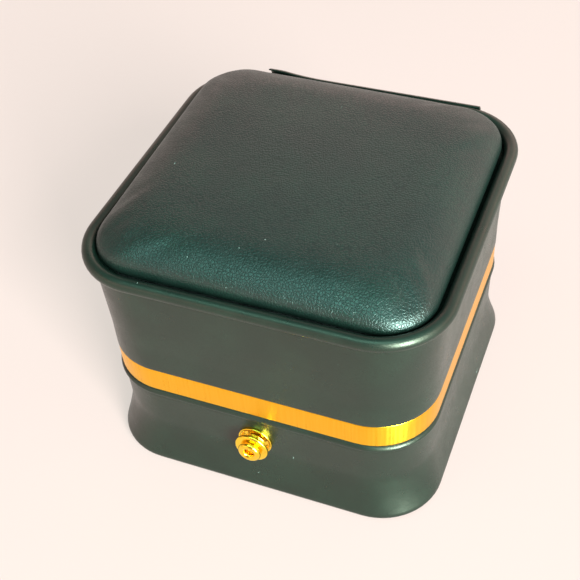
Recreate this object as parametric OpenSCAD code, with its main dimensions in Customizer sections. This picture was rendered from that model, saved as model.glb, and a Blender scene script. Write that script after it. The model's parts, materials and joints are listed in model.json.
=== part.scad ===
// Square leatherette ring box with a padded lid, a gilt band, a push-button latch and a concealed
// hinge. Millimetres, +Z up, front towards -Y. The origin is the centre of the face it rests on.

/* [Case] */
// Width across the rolled rim of the lid
rim_width = 60; // [59.8:0.1:60.6]
// Depth across the rolled rim of the lid
rim_depth = 59.4; // [59.2:0.1:60]
// Width and depth of the upright walls
wall_width = 56; // [55.9:0.1:56.2]
// Width and depth of the foot
foot_width = 58.6; // [58:0.1:59.4]
// Width and depth of the base at its waist
waist_width = 55.4; // [55.2:0.1:55.6]
// Thickness of the leatherette skin
skin = 0.6; // [0.5:0.05:0.7]

/* [Heights] */
// Middle of the seam between the base and the lid
seam_z = 18.2; // [18:0.1:18.4]
// Top of the rolled rim
rim_z = 43.75; // [43.4:0.05:43.9]
// Rise of the padded top above its own edge
crown_rise = 4.3; // [3.4:0.1:5.2]
// Height of the gilt band
band_height = 4.7; // [4.5:0.1:5.4]

/* [Hinge] */
// Length of the hinge leaves
leaf_length = 30; // [29:0.5:31]
// Radius of the knuckles
knuckle_r = 1; // [0.95:0.05:1]
// Radius of the pin
pin_r = 0.5; // [0.45:0.01:0.5]
// Width of the leather strip over the hinge
strip_width = 39.5; // [36:0.5:42]

/* [Button] */
// Height of the button's axis
button_z = 12; // [11.8:0.1:12.4]
// Radius of the button's stem
stem_r = 1.5; // [1.4:0.05:1.5]

/* [Ring cushion] */
// Radius of the two padded rolls
roll_r = 8.9; // [8.6:0.1:9]

/* [Hidden] */
$fn = 64;

// Fits: parts of one body stand this far apart, and a shaft has this much room in its bore
layer_gap = 0.05;
running_gap = 0.05;
pin_gap = 0.03;
hole_gap = 0.02; // a fastener in its hole
pocket_room = 0.4; // round the latch housing and the hinge window
past = 1; // how far a cut runs past the face that it opens

// Outline: every wall is a rounded square about the same four corner centres
corner = 18.2;
wall_half = wall_width / 2;
foot_half = foot_width / 2;
waist_half = waist_width / 2;

// Base, from the table up
felt_top = 0.6;
felt_half = 26;
board_half = felt_half + 0.1;
hem_inner = felt_half + 0.4;
hem_r = 1.2;
floor_lap = 0.3; // how far the floor runs into the walls
board_top = 1.4;
hem_z = 0.2;
foot_z = 1.4;
flare_top = 9.5;
floor_top = 3;
base_inner = 25.6;
base_top = seam_z - 0.1;
shell_top = base_top - skin;
shoulder_r = 0.8;
shoulder_half = wall_half - 0.5;
shoulder_z = base_top - shoulder_r;
wall_top = shoulder_z - 0.8;
shoulder_flare = 0.17;

// Flocked foam insert: it stands up inside the lid, with a well for the ring cushion
insert_half = 25.4;
insert_top = 20.6;
insert_bevel = 0.4;
insert_wall = 1.2;
well_half = 19;
well_corner = 1.5;
well_floor = 5;
slot_back = 22.2;
roll_board_top = 6;
roll_rise = 0.7;
roll_half_length = 18.6;
roll_gap = 0.9;

// Lid
lid_bottom = seam_z + 0.1;
band_thickness = 0.55;
band_top = lid_bottom + band_height;
lid_outer = wall_half - skin;
lid_inner = 26.2;
lid_plate_low = 39.8;
lid_plate_top = 41.4;
lid_flare_z = 28;
bead_foot_z = 40.4;
lid_flare = 0.033;
bead_r = 1.15;
bead_z = rim_z - bead_r;
piping_r = 0.55;
liner_outer = 26.15;
liner_inner = 25.75;
ceiling_z = 38.55;
ceiling_half = 24.8;
ceiling_drop = 2.9;

// The rim's corners turn about their own centres, because the rim is wider than it is deep
rim_corner_r = rim_width / 2 - corner;
rim_corner_y = rim_depth / 2 - rim_corner_r;

// Padded top
pad_half_x = rim_width / 2 - 2.6;
pad_half_y = rim_depth / 2 - 3;
pad_corner = 8;
pad_edge_z = 44.4;
pad_side = 0.6; // upright part of its side
pad_tuck = 0.9; // how far the side draws in below
pad_tuck_z = 42.3;
pad_board_top = 42.2;
crown_edge = 9;
crown_share = 0.8;

// Hinge: the barrel lies on the seam, in a window of the skins
hinge_y = wall_half + 0.4;
leaf_front = 27.1;
leaf_back = 27.6;
leaf_start = 1.2;
leaf_height = 8;
window_reach = leaf_start + leaf_height + pocket_room;
window_half = leaf_length / 2 + pocket_room;
pocket_y = leaf_front - layer_gap;
knuckle_length = 5.9;
knuckle_gap = 0.2;
base_knuckle = leaf_length / 2 - knuckle_length;
lid_knuckle = base_knuckle - knuckle_gap - knuckle_length;
rivet_x = [-11, 0, 11];
rivet_r = 0.7;
rivet_head_r = 1.4;
rivet_head = 0.2;
rivet_wall = 0.2; // left of the shell behind a rivet
pin_head = 0.3;
pin_head_r = 0.8;
base_rivet_z = seam_z - 5;
lid_rivet_z = seam_z + 5.5;
strip_gap = 0.08;
strip_bump = 1.55;
strip_reach = 2.5;

// Button, bezel and latch, with distances measured forward from the box's middle plane
bezel_r = 2.6;
bezel_flange_r = 2.95;
bezel_seat = 27.72;
bezel_front = 28.4;
bezel_back = 24.9;
skirt_r = 2.15;
skirt_room = 0.15;
plate_front = 24.3;
plate_back = 23.3;
tenon_r = 0.9;
clip_back = 22.95;
housing_back = 20.4;
housing_sheet = 0.6;
housing_half = 6.6;
housing_low = 7.5;
housing_high = 18;
flange_front = 25.55;
flange_half = 10.2;
slider_half = 6.2;
slider_low = 9;
hook_half = 4.5;
hook_tip = 25.1;
hook_low = seam_z + 1.9;
hook_high = seam_z + 2.6;
screw_x = 8.4;
screw_r = 0.6;
screw_tip = 26.6;
screw_room = 0.3;
screw_head_r = 1.1;
screw_head = 0.5;
screw_slot = 0.24;
nut_r = 3.7;
clip_r = 1.9;
tenon_back = 22.7;
skirt_back = 28.55;
disc_back = 29.3;
disc_front = 30.1;
disc_r = 2.75;
front_r = 1.85;
front_z = 31;
front_dome = 31.18;
edge_round = 0.15;
groove_depth = 0.2;
strike_back = 26.15;
strike_front = 25.65;
strike_half = 5.5;
lip_tip = 24.5;
lip_low = seam_z + 1.2;
lip_high = seam_z + 1.8;
strike_top = 27;
strike_rivet_x = 3.4;
strike_rivet_z = 24.2;
strike_rivet_tip = 27;
strike_head = 0.3;

leather = [0.10, 0.20, 0.17];
velvet = [0.05, 0.17, 0.13];
satin = [0.85, 0.80, 0.68];
gilt = [0.95, 0.70, 0.22];
steel = [0.70, 0.71, 0.72];
plastic = [0.22, 0.23, 0.24];
card = [0.62, 0.52, 0.38];
foam = [0.80, 0.80, 0.74];

// ---- Shared shapes ----

// Outline of a rectangle with rounded corners
module plan(half_x, half_y, r) {
    square([2 * (half_x - r), 2 * half_y], center = true);
    square([2 * half_x, 2 * (half_y - r)], center = true);
    for (x = [-1, 1], y = [-1, 1]) translate([x * (half_x - r), y * (half_y - r)]) circle(r);
}

// A block with rounded upright edges
module block(half_x, half_y, r, low, high) {
    translate([0, 0, low]) linear_extrude(high - low) plan(half_x, half_y, r);
}

// A rounded square block about the shared corner centres
module wall_block(half, low, high) {
    block(half, half, half - corner, low, high);
}

// A ring that follows a rounded rectangle. The child is its section: X is the distance outward
// from the corner centres, at (centre_x, centre_y), and Y is the height.
module ring_of(centre_x, centre_y) {
    for (turn = [0:3]) {
        along = turn % 2 == 0 ? centre_y : centre_x;
        across = turn % 2 == 0 ? centre_x : centre_y;
        rotate([0, 0, 90 * turn]) {
            translate([across, along, 0]) rotate([90, 0, 0]) linear_extrude(2 * along) children();
            translate([across, along, 0]) rotate_extrude(angle = 90) children();
        }
    }
}

// A ring about the shared corner centres, from a section of [half width, height] points
module wall_ring(points) {
    ring_of(corner, corner) polygon([for (p = points) [p[0] - corner, p[1]]]);
}

// A block between two opposite corners
module slab(low, high) {
    translate(low) cube(high - low);
}

// A cylinder along Y, between two distances forward of the middle plane
module forward_rod(x, z, r, from, to, sides = 48) {
    translate([x, -from, z]) rotate([90, 0, 0]) cylinder(r = r, h = to - from, $fn = sides);
}

// A cylinder along Y, between two distances behind the middle plane
module rear_rod(x, z, r, from, to) {
    mirror([0, 1, 0]) forward_rod(x, z, r, from, to, 32);
}

// A cylinder along X
module cross_rod(y, z, r, from, to) {
    translate([from, y, z]) rotate([0, 90, 0]) cylinder(r = r, h = to - from, $fn = 48);
}

// A turned part on the button's axis, from [radius, distance forward] points
module turned(points) {
    translate([0, 0, button_z]) rotate([90, 0, 0]) rotate_extrude() polygon(points);
}

// Points of an arc in a section
function arc(centre, r, from, to, steps = 8) = [
    for (i = [0:steps]) let (a = from + (to - from) * i / steps) centre + r * [cos(a), sin(a)]
];

// Wire swept along a list of points
module wire(path, r) {
    count = len(path);
    sides = 8;
    function heading(i) =
        let (step = path[min(i + 1, count - 1)] - path[max(i - 1, 0)]) step / norm(step);
    function side_way(d) = let (c = cross(d, abs(d[0]) < 0.9 ? [1, 0, 0] : [0, 0, 1])) c / norm(c);
    rings = [
        for (i = [0:count - 1]) let (d = heading(i), u = side_way(d), v = cross(d, u))
        for (k = [0:sides - 1]) let (a = 360 * k / sides) path[i] + r * (cos(a) * u + sin(a) * v)
    ];
    skins = [
        for (i = [0:count - 2], k = [0:sides - 1])
        let (a = i * sides + k, b = i * sides + (k + 1) % sides)
        each [[a, a + sides, b + sides], [a, b + sides, b]]
    ];
    ends = [
        [for (k = [0:sides - 1]) k],
        [for (k = [0:sides - 1]) count * sides - 1 - k]
    ];
    polyhedron(points = rings, faces = concat(skins, ends), convexity = 6);
}

// ---- Outlines that several parts follow ----

// Half width of the base at a height: it flares to the foot below, and a little to the shoulder above
function base_half(z) =
    let (low = max(0, (flare_top - z) / (flare_top - foot_z)))
    let (high = max(0, (z - flare_top) / (wall_top - flare_top)))
    waist_half + (foot_half - waist_half) * pow(low, 1.5) + shoulder_flare * pow(high, 2);

// Half width of the lid's skin at a height: upright, then leaning out towards the rim
function lid_half(z) = wall_half + lid_flare * max(0, z - lid_flare_z);

// Side of the base, from the foot to under the shoulder, moved in by an inset
function base_side(inset, top = wall_top) = [
    for (i = [0:12]) let (z = foot_z + (top - foot_z) * i / 12) [base_half(z) - inset, z]
];

// Height of the padded top's surface at a distance in from its edge
function crown_z(d) =
    let (edge = 1 - min(d, crown_edge) / crown_edge, middle = 1 - d / pad_half_y)
    pad_edge_z + crown_rise * (crown_share * sqrt(1 - edge * edge)
        + (1 - crown_share) * (1 - middle * middle));

// Inner face of the strip where it passes over the hinge's barrel
function strip_bulge(z) =
    let (share = (z - seam_z) / strip_reach, low = base_half(seam_z - strip_reach))
    let (high = lid_half(seam_z + strip_reach) + strip_gap)
    (low + strip_gap) * (1 - share) / 2 + high * (1 + share) / 2 + strip_bump * pow(cos(90 * share), 2);

// ---- Base ----

module base_shell() {
    inset = skin + layer_gap;
    foot_round = skin - layer_gap;
    color(plastic) difference() {
        union() {
            wall_ring(concat(
                [[base_inner, board_top + layer_gap], [base_inner, shell_top - layer_gap]],
                [[base_half(wall_top) - inset, shell_top - layer_gap]],
                [for (i = [12:-1:0]) base_side(inset)[i]],
                arc([foot_half - inset - foot_round, foot_z], foot_round, -20, -90, 4),
                [[board_half, foot_z - foot_round], [board_half, board_top + layer_gap]]
            ));
            wall_block(base_inner + floor_lap, board_top + layer_gap, floor_top);
        }
        forward_rod(0, button_z, bezel_r + hole_gap, base_inner - past, foot_half);
        for (x = [-screw_x, screw_x])
            forward_rod(x, button_z, screw_r + hole_gap, base_inner - past, screw_tip + screw_room);
        slab([-window_half, pocket_y, seam_z - window_reach], [window_half, foot_half, seam_z]);
        for (x = rivet_x) rear_rod(x, base_rivet_z, rivet_r + hole_gap, base_inner + rivet_wall, foot_half);
    }
}

module base_wrap() {
    color(leather) difference() {
        wall_ring(concat(
            [[hem_inner, hem_z]],
            arc([foot_half - hem_r, hem_z + hem_r], hem_r, -90, 0),
            [for (i = [1:12]) base_side(0)[i]],
            arc([shoulder_half, shoulder_z], shoulder_r, -55, 90),
            [[base_inner, base_top], [base_inner, shell_top]],
            [[base_half(wall_top) - skin, shell_top]],
            [for (i = [12:-1:0]) base_side(skin)[i]],
            arc([foot_half - 2 * skin, foot_z], skin, -20, -90, 4),
            [[hem_inner, foot_z - skin]]
        ));
        forward_rod(0, button_z, bezel_r + hole_gap, base_inner, foot_half + past);
        forward_rod(0, button_z, bezel_flange_r + hole_gap, bezel_seat - hole_gap, foot_half + past);
        slab([-window_half, pocket_y, seam_z - window_reach], [window_half, foot_half + past, seam_z]);
    }
}

module bottom_board() {
    color(card) wall_block(felt_half, felt_top, board_top);
}

module bottom_felt() {
    color(velvet) wall_block(felt_half, 0, felt_top);
}

module base_insert() {
    shoulder = insert_top - insert_bevel;
    color(velvet) difference() {
        union() {
            wall_block(insert_half, floor_top + layer_gap, shoulder);
            wall_block(insert_half - insert_bevel, shoulder, insert_top);
        }
        block(well_half, well_half, well_corner, well_floor, insert_top + past);
        slab([-flange_half - pocket_room, -insert_half - past, housing_low - pocket_room],
             [flange_half + pocket_room, -housing_back + layer_gap, insert_top - insert_wall]);
        slab([-housing_half, -insert_half - past, insert_top - insert_wall - layer_gap],
             [housing_half, -slot_back, insert_top + past]);
    }
}

module roll_board() {
    color(card) block(well_half - 0.3, well_half - 0.3, well_corner, well_floor + layer_gap, roll_board_top);
}

// One padded roll: a flat-bottomed half round bar, on the front (-1) or rear (1) side
module ring_roll(side) {
    low = roll_board_top + layer_gap;
    middle_y = side * (roll_gap / 2 + roll_r);
    middle_z = insert_top + roll_rise - roll_r;
    color(velvet) difference() {
        union() {
            cross_rod(middle_y, middle_z, roll_r, -roll_half_length, roll_half_length);
            slab([-roll_half_length, middle_y - roll_r, low],
                 [roll_half_length, middle_y + roll_r, middle_z]);
        }
        slab([-roll_half_length - past, middle_y - roll_r, 0],
             [roll_half_length + past, middle_y + roll_r, low]);
    }
}

module ring_roll_front() {
    ring_roll(-1);
}

module ring_roll_rear() {
    ring_roll(1);
}

// ---- Push button, bezel and latch ----

module button_bezel() {
    bore = stem_r + running_gap;
    color(gilt) turned([
        [bore, bezel_back], [bezel_r, bezel_back], [bezel_r, bezel_seat], [bezel_flange_r, bezel_seat],
        [bezel_flange_r, bezel_front - edge_round], [bezel_flange_r - edge_round, bezel_front],
        [skirt_r + skirt_room, bezel_front], [skirt_r + skirt_room, bezel_seat - groove_depth],
        [bore, bezel_seat - groove_depth]
    ]);
}

module bezel_nut() {
    color(gilt) difference() {
        forward_rod(0, button_z, nut_r, bezel_back + layer_gap, base_inner - layer_gap, 6);
        forward_rod(0, button_z, bezel_r + hole_gap, bezel_back - past, base_inner + past);
    }
}

module push_button() {
    color(gilt) turned([
        [0, tenon_back], [tenon_r, tenon_back], [tenon_r, plate_front], [stem_r, plate_front],
        [stem_r, skirt_back], [skirt_r, skirt_back], [skirt_r, disc_back],
        [disc_r - edge_round, disc_back], [disc_r, disc_back + edge_round],
        [disc_r, disc_front - edge_round], [disc_r - edge_round, disc_front],
        [front_r, disc_front], [front_r, front_z - edge_round], [front_r - edge_round, front_z],
        [front_r * 0.68, front_z], [front_r * 0.62, front_z - groove_depth],
        [front_r * 0.52, front_z - groove_depth], [front_r * 0.46, front_z],
        [front_r * 0.27, (front_z + 2 * front_dome) / 3], [0, front_dome]
    ]);
}

module latch_slider() {
    color(steel) difference() {
        union() {
            slab([-slider_half, -plate_front, slider_low], [slider_half, -plate_back, hook_high]);
            translate([-hook_half, 0, 0]) rotate([90, 0, 90]) linear_extrude(2 * hook_half) polygon([
                [-plate_back, hook_low], [-hook_tip, hook_low], [-hook_tip, hook_low + edge_round],
                [-plate_front, hook_high], [-plate_back, hook_high]
            ]);
        }
        forward_rod(0, button_z, tenon_r + hole_gap, plate_back - past, plate_front + past);
    }
}

module slider_clip() {
    color(steel) difference() {
        forward_rod(0, button_z, clip_r, clip_back, plate_back);
        forward_rod(0, button_z, tenon_r + hole_gap, clip_back - past, plate_back + past);
    }
}

module latch_spring() {
    wire_r = 0.2;
    coil_r = 2.4;
    turns = 2.5;
    steps = 16;
    start = plate_back - wire_r - layer_gap;
    finish = housing_back + housing_sheet + wire_r + layer_gap;
    color(steel) wire([
        for (i = [0:turns * steps])
        let (a = 360 * i / steps)
        [coil_r * cos(a), -start + (start - finish) * i / (turns * steps), button_z + coil_r * sin(a)]
    ], wire_r);
}

module latch_housing() {
    color(steel) difference() {
        union() {
            slab([-flange_half, -flange_front, housing_low],
                 [flange_half, -flange_front + housing_sheet, housing_high]);
            slab([-housing_half - housing_sheet, -flange_front, housing_low],
                 [housing_half + housing_sheet, -housing_back, housing_high]);
        }
        slab([-housing_half, -flange_front - past, housing_low - past],
             [housing_half, -housing_back - housing_sheet, housing_high + past]);
        for (x = [-screw_x, screw_x])
            forward_rod(x, button_z, screw_r + edge_round, flange_front - housing_sheet - past,
                flange_front + past);
    }
}

module latch_screws() {
    inner = flange_front - housing_sheet;
    color(steel) for (x = [-screw_x, screw_x]) difference() {
        union() {
            forward_rod(x, button_z, screw_r, inner - screw_head / 2, screw_tip);
            forward_rod(x, button_z, screw_head_r, inner - screw_head, inner - hole_gap);
        }
        slab([x - screw_head_r - past, -inner + screw_head / 2, button_z - screw_slot / 2],
             [x + screw_head_r + past, -inner + past, button_z + screw_slot / 2]);
    }
}

module strike_plate() {
    color(steel) difference() {
        union() {
            slab([-strike_half, -strike_back, lip_low], [strike_half, -strike_front, strike_top]);
            slab([-hook_half, -strike_back, lip_low], [hook_half, -lip_tip, lip_high]);
        }
        for (x = [-strike_rivet_x, strike_rivet_x])
            forward_rod(x, strike_rivet_z, screw_r + hole_gap, strike_front - past, strike_back + past);
    }
}

module strike_rivets() {
    color(steel) for (x = [-strike_rivet_x, strike_rivet_x]) {
        forward_rod(x, strike_rivet_z, screw_r, strike_front - strike_head / 2, strike_rivet_tip);
        forward_rod(x, strike_rivet_z, screw_head_r, strike_front - strike_head, strike_front - hole_gap);
    }
}

// ---- Hinge ----

// One leaf: plate, tabs and knuckles, above (1) or below (-1) the pin, with knuckles at the given X
module hinge_leaf(side, knuckles) {
    rivet_z = side > 0 ? lid_rivet_z : base_rivet_z;
    color(steel) difference() {
        union() {
            translate([0, 0, seam_z]) mirror([0, 0, side > 0 ? 0 : 1]) {
                slab([-leaf_length / 2, leaf_front, leaf_start],
                     [leaf_length / 2, leaf_back, leaf_start + leaf_height]);
                for (x = knuckles)
                    slab([x, leaf_front, 0], [x + knuckle_length, leaf_back, leaf_start + 0.1]);
            }
            for (x = knuckles) cross_rod(hinge_y, seam_z, knuckle_r, x, x + knuckle_length);
        }
        cross_rod(hinge_y, seam_z, pin_r + pin_gap, -leaf_length, leaf_length);
        for (x = rivet_x) rear_rod(x, rivet_z, rivet_r + hole_gap, leaf_front - past, leaf_back + past);
    }
}

module hinge_leaf_base() {
    hinge_leaf(-1, [-base_knuckle - knuckle_length, base_knuckle]);
}

module hinge_leaf_lid() {
    hinge_leaf(1, [-lid_knuckle - knuckle_length, lid_knuckle]);
}

module hinge_rivets(z, inner) {
    color(steel) for (x = rivet_x) {
        rear_rod(x, z, rivet_r, inner, leaf_back + rivet_head / 2);
        rear_rod(x, z, rivet_head_r, leaf_back + hole_gap, leaf_back + rivet_head);
    }
}

module hinge_rivets_base() {
    hinge_rivets(base_rivet_z, base_inner + rivet_wall + layer_gap);
}

module hinge_rivets_lid() {
    hinge_rivets(lid_rivet_z, lid_inner + 2 * layer_gap);
}

module hinge_pin() {
    half = leaf_length / 2 + 2 * layer_gap;
    color(steel) {
        cross_rod(hinge_y, seam_z, pin_r, -half - pin_head / 2, half + pin_head / 2);
        for (x = [-half - pin_head, half]) cross_rod(hinge_y, seam_z, pin_head_r, x, x + pin_head);
    }
}

module hinge_spring() {
    coil_r = 0.66;
    wire_r = 0.11;
    turns = 9;
    steps = 10;
    half = 2.5;
    coil = [
        for (i = [0:turns * steps])
        let (a = 180 + 360 * i / steps)
        [-half + 2 * half * i / (turns * steps), hinge_y + coil_r * cos(a), seam_z + coil_r * sin(a)]
    ];
    color(steel) wire(concat(
        [[-half, hinge_y - coil_r, seam_z + 5]],
        coil,
        [[half, hinge_y - coil_r, seam_z - 3.5]]
    ), wire_r);
}

// ---- Strip over the hinge ----

// The strip's section is [distance behind the middle plane, height] points
module strip(points) {
    color(leather) translate([-strip_width / 2, 0, 0]) rotate([90, 0, 90])
        linear_extrude(strip_width) polygon(points);
}

module spine_lower() {
    top = seam_z - strip_reach;
    low = foot_z + 0.1;
    steps = 8;
    heights = [for (i = [0:steps]) low + (top - layer_gap - low) * i / steps];
    strip(concat(
        [for (z = heights) [base_half(z) + strip_gap, z]],
        [for (i = [steps:-1:0]) [base_half(heights[i]) + strip_gap + skin, heights[i]]]
    ));
}

module spine_flex() {
    steps = 16;
    heights = [for (i = [0:steps]) seam_z + strip_reach * (2 * i / steps - 1)];
    strip(concat(
        [for (z = heights) [strip_bulge(z), z]],
        [for (i = [steps:-1:0]) [strip_bulge(heights[i]) + skin, heights[i]]]
    ));
}

module spine_upper() {
    low = seam_z + strip_reach + layer_gap;
    bead = [rim_depth / 2 - bead_r, bead_z];
    inner_r = bead_r + strip_gap;
    heights = [low, lid_flare_z, (lid_flare_z + bead_foot_z) / 2, bead_foot_z];
    strip(concat(
        [for (z = heights) [lid_half(z) + strip_gap, z]],
        arc(bead, inner_r, -45, 40),
        arc(bead, inner_r + skin, 40, -45),
        [for (i = [len(heights) - 1:-1:0]) [lid_half(heights[i]) + strip_gap + skin, heights[i]]]
    ));
}

// ---- Lid ----

module lid_shell() {
    outer = lid_outer - layer_gap;
    color(plastic) difference() {
        wall_block(outer, lid_bottom + 0.2, lid_plate_top);
        wall_block(lid_inner, lid_bottom - past, lid_plate_low);
        slab([-window_half, pocket_y, lid_bottom - past],
             [window_half, lid_outer + past, seam_z + window_reach]);
        for (x = rivet_x) rear_rod(x, lid_rivet_z, rivet_r + hole_gap, lid_inner - past, lid_outer + past);
        for (x = [-strike_rivet_x, strike_rivet_x])
            forward_rod(x, strike_rivet_z, screw_r + hole_gap, lid_inner - past,
                strike_rivet_tip + layer_gap);
    }
}

module lid_wrap() {
    bead_at = rim_corner_r - bead_r;
    color(leather) difference() {
        union() {
            wall_ring([
                [lid_outer, band_top + layer_gap], [lid_half(band_top), band_top + layer_gap],
                [lid_half(lid_flare_z), lid_flare_z], [lid_half(lid_plate_top), lid_plate_top],
                [lid_half(lid_plate_top), bead_z], [lid_outer + 0.2, bead_z], [lid_outer, bead_z - 0.6]
            ]);
            ring_of(corner, rim_corner_y) translate([bead_at, bead_z]) circle(bead_r, $fn = 32);
        }
        ring_of(corner, rim_corner_y) translate([bead_at, bead_z]) circle(piping_r + layer_gap, $fn = 24);
        slab([-window_half, pocket_y, lid_bottom],
             [window_half, wall_half + past, seam_z + window_reach]);
    }
}

module rim_piping() {
    color(card) ring_of(corner, rim_corner_y)
        translate([rim_corner_r - bead_r, bead_z]) circle(piping_r, $fn = 24);
}

module gold_band() {
    color(gilt) difference() {
        wall_ring([
            [lid_outer, lid_bottom], [lid_outer + band_thickness - 0.1, lid_bottom],
            [lid_outer + band_thickness, lid_bottom + 0.1], [lid_outer + band_thickness, band_top - 0.1],
            [lid_outer + band_thickness - 0.1, band_top], [lid_outer, band_top]
        ]);
        slab([-window_half - 0.8, lid_outer - past, lid_bottom - past],
             [window_half + 0.8, wall_half + past, band_top + past]);
    }
}

// The padded top's body, moved in by an inset, down to a low face
module crown(inset, low) {
    half_x = pad_half_x - inset;
    half_y = pad_half_y - inset;
    r = pad_corner - inset;
    slice = 0.01;
    hull() {
        block(half_x - pad_tuck, half_y - pad_tuck, r - pad_tuck, low, pad_tuck_z, $fn = 32);
        block(half_x, half_y, r, pad_edge_z - pad_side - inset, pad_edge_z - inset, $fn = 32);
        for (d = [0.1, 0.35, 0.8, 1.5, 2.3, 3, 6, 10, 15, 20, 24])
            translate([0, 0, crown_z(d) - inset - slice]) linear_extrude(slice)
                scale(1 - d / half_y) plan(half_x, half_y, r, $fn = 32);
    }
}

module pad_board() {
    inset = pad_tuck + skin + 0.1;
    color(card) block(pad_half_x - inset, pad_half_y - inset, pad_corner - inset,
        lid_plate_top + layer_gap, pad_board_top);
}

module pad_foam() {
    color(foam) crown(skin + layer_gap, pad_board_top + layer_gap);
}

module pad_cover() {
    color(leather) difference() {
        crown(0, lid_plate_top + layer_gap);
        crown(skin, lid_plate_top - past);
    }
}

module lid_side_liner() {
    color(satin) difference() {
        wall_block(liner_outer, lid_bottom + 0.3, ceiling_z);
        wall_block(liner_inner, lid_bottom, ceiling_z + past);
        slab([-strike_half - 0.5, -lid_inner - past, lid_bottom],
             [strike_half + 0.5, -liner_inner + past, strike_top + 0.5]);
    }
}

module lid_ceiling_board() {
    color(card) wall_block(liner_outer - 0.2, ceiling_z + layer_gap, lid_plate_low - layer_gap);
}

module lid_ceiling_pad() {
    r = ceiling_half - corner;
    color(satin) hull() {
        for (step = [[0, 0], [0, 1.2], [0.5, 2], [1.6, 2.5], [4, 2.75], [8, ceiling_drop]])
            block(ceiling_half - step[0], ceiling_half - step[0], r + step[0] / 3, ceiling_z - step[1] - 0.01,
                ceiling_z - step[1], $fn = 32);
    }
}

base_shell();
base_wrap();
bottom_board();
bottom_felt();
base_insert();
roll_board();
ring_roll_front();
ring_roll_rear();
button_bezel();
bezel_nut();
latch_housing();
latch_screws();
latch_spring();
hinge_leaf_base();
hinge_rivets_base();
hinge_pin();
hinge_spring();
spine_lower();
spine_flex();
push_button();
latch_slider();
slider_clip();
lid_shell();
lid_wrap();
gold_band();
rim_piping();
pad_board();
pad_foam();
pad_cover();
lid_side_liner();
lid_ceiling_board();
lid_ceiling_pad();
strike_plate();
strike_rivets();
hinge_leaf_lid();
hinge_rivets_lid();
spine_upper();
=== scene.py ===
"""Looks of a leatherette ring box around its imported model. Metres, +Z up, front towards -Y.

Lengths in the settings and sections are in millimetres, and MM turns them into metres.
"""

import json
import math

import bmesh
import bpy
import numpy as np
from mathutils import Matrix, Vector, noise

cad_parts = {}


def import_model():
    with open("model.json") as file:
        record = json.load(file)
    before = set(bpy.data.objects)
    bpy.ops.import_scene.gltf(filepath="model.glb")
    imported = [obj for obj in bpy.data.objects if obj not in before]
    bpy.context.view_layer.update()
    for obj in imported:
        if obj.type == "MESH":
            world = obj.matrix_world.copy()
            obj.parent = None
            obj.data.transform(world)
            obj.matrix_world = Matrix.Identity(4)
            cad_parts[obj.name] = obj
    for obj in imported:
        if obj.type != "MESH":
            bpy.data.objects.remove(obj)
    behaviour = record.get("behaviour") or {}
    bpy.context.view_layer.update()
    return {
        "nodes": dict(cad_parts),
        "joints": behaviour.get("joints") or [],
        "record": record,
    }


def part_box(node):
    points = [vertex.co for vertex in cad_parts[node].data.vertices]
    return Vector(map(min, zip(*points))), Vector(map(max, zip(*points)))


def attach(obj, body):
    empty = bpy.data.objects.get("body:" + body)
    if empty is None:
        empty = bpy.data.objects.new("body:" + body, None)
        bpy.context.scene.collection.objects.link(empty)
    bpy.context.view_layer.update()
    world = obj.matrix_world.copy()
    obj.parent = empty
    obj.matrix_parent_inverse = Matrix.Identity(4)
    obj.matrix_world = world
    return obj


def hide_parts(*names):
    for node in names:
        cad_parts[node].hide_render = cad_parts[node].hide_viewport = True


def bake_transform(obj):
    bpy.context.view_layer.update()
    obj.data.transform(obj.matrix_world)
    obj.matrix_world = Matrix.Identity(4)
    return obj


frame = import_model()
MM = 0.001

# ---- Sizes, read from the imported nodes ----


def extent(node):
    """Lowest and highest corner of a CAD node, in millimetres."""
    low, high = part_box(node)
    return Vector(low) / MM, Vector(high) / MM


WRAP_LOW, WRAP_HIGH = extent("base_wrap")
LID_LOW, LID_HIGH = extent("lid_wrap")
BAND_LOW, BAND_HIGH = extent("gold_band")
PAD_LOW, PAD_HIGH = extent("pad_cover")
INSERT_LOW, INSERT_HIGH = extent("base_insert")
LINER_LOW, LINER_HIGH = extent("lid_side_liner")
FELT_LOW, FELT_HIGH = extent("bottom_felt")
CEILING_LOW, CEILING_HIGH = extent("lid_ceiling_pad")
STRIP_LOW, STRIP_HIGH = extent("spine_lower")
FLEX_LOW, FLEX_HIGH = extent("spine_flex")
BEZEL_LOW, BEZEL_HIGH = extent("button_bezel")
LEAF_LOW, LEAF_HIGH = extent("hinge_leaf_base")
HINGE = Vector(frame["joints"][0]["pos_m"]) / MM
BUTTON_Z = (BEZEL_LOW.z + BEZEL_HIGH.z) / 2

FOOT_HALF = WRAP_HIGH.x
RIM_HALF, RIM_HALF_Y = LID_HIGH.x, LID_HIGH.y
RIM_Z = LID_HIGH.z
RIM_CORNER = 11.7
WALL_CORNER = 10.5
CORNER_CENTRE = 18.2  # the inner pieces' corners turn about this point, on both axes
WALL_HALF = 28
WAIST_HALF = 27.7
SKIN = 0.6
FLARE_TOP = 9.5
FOOT_Z = 1.4
WALL_TOP = 16.5
BEAD_R = 1.15

# ---- Mesh tools ----

ARC_STEPS = 14
SIDE_STEPS = 18


def outline(half_x, half_y, radius):
    """A rounded rectangle, anticlockwise, with as many points at every size."""
    points = []
    signs = [(1, 1), (-1, 1), (-1, -1), (1, -1)]
    for turn, (sx, sy) in enumerate(signs):
        centre = Vector((sx * (half_x - radius), sy * (half_y - radius)))
        for step in range(ARC_STEPS + 1):
            angle = math.pi / 2 * (turn + step / ARC_STEPS)
            points.append(centre + radius * Vector((math.cos(angle), math.sin(angle))))
        nx, ny = signs[(turn + 1) % 4]
        following = Vector((nx * (half_x - radius), ny * (half_y - radius)))
        angle = math.pi / 2 * (turn + 1)
        offset = radius * Vector((math.cos(angle), math.sin(angle)))
        for step in range(1, SIDE_STEPS):
            points.append(centre.lerp(following, step / SIDE_STEPS) + offset)
    return points


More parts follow.
